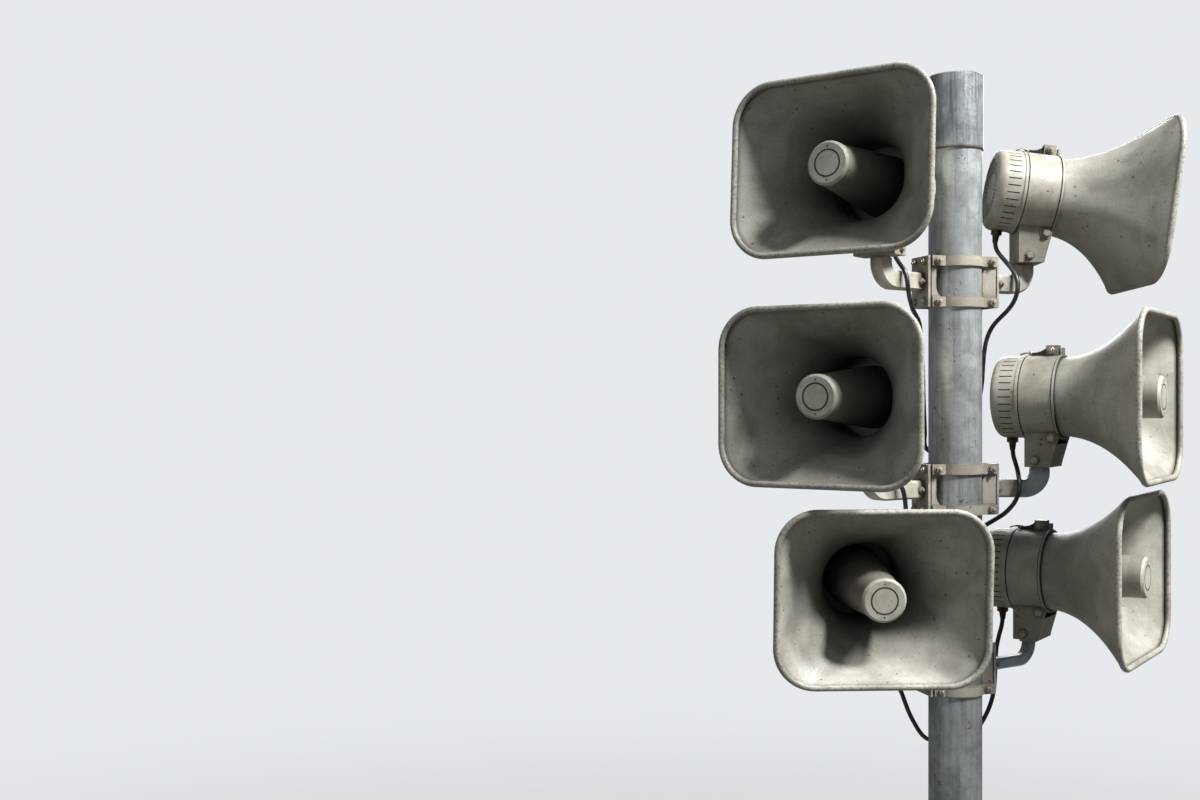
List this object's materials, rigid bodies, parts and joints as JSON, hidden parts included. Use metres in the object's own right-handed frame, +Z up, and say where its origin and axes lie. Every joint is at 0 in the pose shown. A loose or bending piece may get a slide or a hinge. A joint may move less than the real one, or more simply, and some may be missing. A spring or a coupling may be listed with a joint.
{
  "type": "siren mast with horn loudspeakers",
  "caption": "Outdoor warning siren mast: a galvanised tube on a base plate carries flared horns with rectangular rolled mouths on strap clamps; each horn swivels on a pin.",
  "frame": {"origin": "centre of the base plate's underside, on the mast's axis, at ground level", "axes": "+Z up along the mast; -Y is the side that the middle left horn looks from; +X is to the right when one looks from there"},
  "size_m": [1.2969, 0.8769, 5],
  "materials": {
    "galvanised_steel": "weathered hot-dip zinc, mottled grey-blue with streaks",
    "cap_steel": "dull dark grey paint with a rusty lower edge",
    "clamp_paint": "dusty grey-beige paint with rust along edges and bolts",
    "arm_paint": "dusty grey-beige paint, blue-grey at the elbows",
    "bracket_paint": "dull olive-grey paint with rust rings round the bolts",
    "horn_paint": "weathered grey-beige paint, semi-gloss, with chips and specks",
    "nozzle_shell": "grey-beige paint on moulded shell, satin",
    "lead_rubber": "smooth black sheath, semi-gloss"
  },
  "bodies": {
    "mast_assembly": {"mast": "galvanised_steel", "mast_cap": "cap_steel", "top_clamp_plates": "clamp_paint", "top_clamp_straps": "clamp_paint", "middle_clamp_plates": "clamp_paint", "middle_clamp_straps": "clamp_paint", "bottom_clamp_plates": "clamp_paint", "bottom_clamp_straps": "clamp_paint", "top_left_arm": "arm_paint", "top_right_arm": "arm_paint", "middle_left_arm": "arm_paint", "middle_right_arm": "arm_paint", "bottom_left_arm": "arm_paint", "bottom_right_arm": "arm_paint", "top_left_lead": "lead_rubber", "top_right_lead": "lead_rubber", "middle_left_lead": "lead_rubber", "middle_right_lead": "lead_rubber", "bottom_left_lead": "lead_rubber", "bottom_right_lead": "lead_rubber"},
    "top_left_horn": {"top_left_bracket": "bracket_paint", "top_left_band": "horn_paint", "top_left_bell": "horn_paint", "top_left_nozzle": "nozzle_shell", "top_left_cover": "horn_paint"},
    "top_right_horn": {"top_right_bracket": "bracket_paint", "top_right_band": "horn_paint", "top_right_bell": "horn_paint", "top_right_nozzle": "nozzle_shell", "top_right_cover": "horn_paint"},
    "middle_left_horn": {"middle_left_bracket": "bracket_paint", "middle_left_band": "horn_paint", "middle_left_bell": "horn_paint", "middle_left_nozzle": "nozzle_shell", "middle_left_cover": "horn_paint"},
    "middle_right_horn": {"middle_right_bracket": "bracket_paint", "middle_right_band": "horn_paint", "middle_right_bell": "horn_paint", "middle_right_nozzle": "nozzle_shell", "middle_right_cover": "horn_paint"},
    "bottom_left_horn": {"bottom_left_bracket": "bracket_paint", "bottom_left_band": "horn_paint", "bottom_left_bell": "horn_paint", "bottom_left_nozzle": "nozzle_shell", "bottom_left_cover": "horn_paint"},
    "bottom_right_horn": {"bottom_right_bracket": "bracket_paint", "bottom_right_band": "horn_paint", "bottom_right_bell": "horn_paint", "bottom_right_nozzle": "nozzle_shell", "bottom_right_cover": "horn_paint"}
  },
  "joints": [
    {"name": "top_left_swivel", "type": "hinge", "parent": "mast_assembly", "child": "top_left_horn", "pos_m": [-0.2225, -0.11831, 4.507], "axis": [0, 0, 1], "range_deg": [-20, 20]},
    {"name": "top_right_swivel", "type": "hinge", "parent": "mast_assembly", "child": "top_right_horn", "pos_m": [0.20769, 0.08391, 4.507], "axis": [0, 0, 1], "range_deg": [-20, 20]},
    {"name": "middle_left_swivel", "type": "hinge", "parent": "mast_assembly", "child": "middle_left_horn", "pos_m": [-0.25605, -0.13615, 3.957], "axis": [0, 0, 1], "range_deg": [-20, 20]},
    {"name": "middle_right_swivel", "type": "hinge", "parent": "mast_assembly", "child": "middle_right_horn", "pos_m": [0.22968, 0.01204, 3.957], "axis": [0, 0, 1], "range_deg": [-20, 20]},
    {"name": "bottom_left_swivel", "type": "hinge", "parent": "mast_assembly", "child": "bottom_left_horn", "pos_m": [-0.27826, -0.03121, 3.481], "axis": [0, 0, 1], "range_deg": [-20, 20]},
    {"name": "bottom_right_swivel", "type": "hinge", "parent": "mast_assembly", "child": "bottom_right_horn", "pos_m": [0.23344, 0.11895, 3.481], "axis": [0, 0, 1], "range_deg": [-20, 20]}
  ]
}
